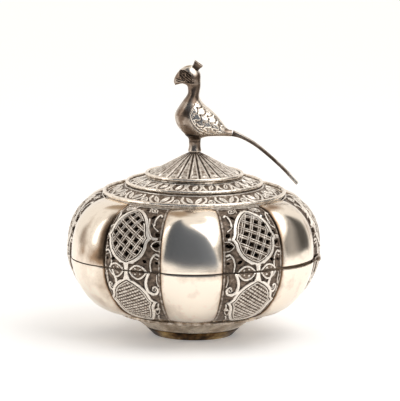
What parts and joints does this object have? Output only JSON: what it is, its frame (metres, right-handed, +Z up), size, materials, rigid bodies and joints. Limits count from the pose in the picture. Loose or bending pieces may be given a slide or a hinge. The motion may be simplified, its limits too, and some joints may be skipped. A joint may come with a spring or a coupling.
{
  "type": "lobed silver box with hinged lid",
  "caption": "Squat lobed round silver box on a foot, plain lobes between chased and pierced panels, hinged stepped lid with a long-tailed bird finial.",
  "frame": {"origin": "centre of the foot's underside, on the surface that the box stands on", "axes": "+Z up along the box's upright axis, +X towards the hinge and the bird's tail, -Y towards the viewer of the picture, where a plain lobe is"},
  "size_m": [0.105, 0.1078, 0.1144],
  "materials": {
    "polished_silver": "hand-polished silver with fine wear marks",
    "chased_silver": "chased and oxidised silver, dark in the ground and bright on the raised lines",
    "wire_silver": "drawn and soldered silver wire and ring, softly worn",
    "cast_silver": "cast silver with dark tarnish in the cuts",
    "foot_silver": "plain silver foot with warm tarnish"
  },
  "bodies": {
    "base": {"base_lobe_1": "polished_silver", "base_chased_panel_1": "chased_silver", "base_lobe_2": "polished_silver", "base_chased_panel_2": "chased_silver", "base_lobe_3": "polished_silver", "base_chased_panel_3": "chased_silver", "base_lobe_4": "polished_silver", "base_chased_panel_4": "chased_silver", "base_lobe_5": "polished_silver", "base_chased_panel_5": "chased_silver", "base_lobe_6": "polished_silver", "base_chased_panel_6": "chased_silver", "base_bezel": "wire_silver", "base_dish": "chased_silver", "base_wire": "wire_silver", "foot_ring": "foot_silver", "base_knuckle_1": "wire_silver", "base_knuckle_2": "wire_silver", "base_knuckle_3": "wire_silver", "hinge_pin": "wire_silver"},
    "lid": {"lid_lobe_1": "polished_silver", "lid_pierced_panel_1": "chased_silver", "lid_lobe_2": "polished_silver", "lid_pierced_panel_2": "chased_silver", "lid_lobe_3": "polished_silver", "lid_pierced_panel_3": "chased_silver", "lid_lobe_4": "polished_silver", "lid_pierced_panel_4": "chased_silver", "lid_lobe_5": "polished_silver", "lid_pierced_panel_5": "chased_silver", "lid_lobe_6": "polished_silver", "lid_pierced_panel_6": "chased_silver", "shoulder_wire": "wire_silver", "outer_band": "chased_silver", "middle_wire": "wire_silver", "inner_band": "chased_silver", "collar": "wire_silver", "fluted_cone": "chased_silver", "finial_stem": "cast_silver", "finial_nut": "wire_silver", "bird_body": "cast_silver", "bird_tail": "cast_silver", "bird_crest": "cast_silver", "lid_knuckle_1": "wire_silver", "lid_knuckle_2": "wire_silver"}
  },
  "joints": [
    {"name": "lid_hinge", "type": "hinge", "parent": "base", "child": "lid", "pos_m": [0.0512, 0, 0.034], "axis": [0, 1, 0], "range_deg": [0, 100]}
  ]
}
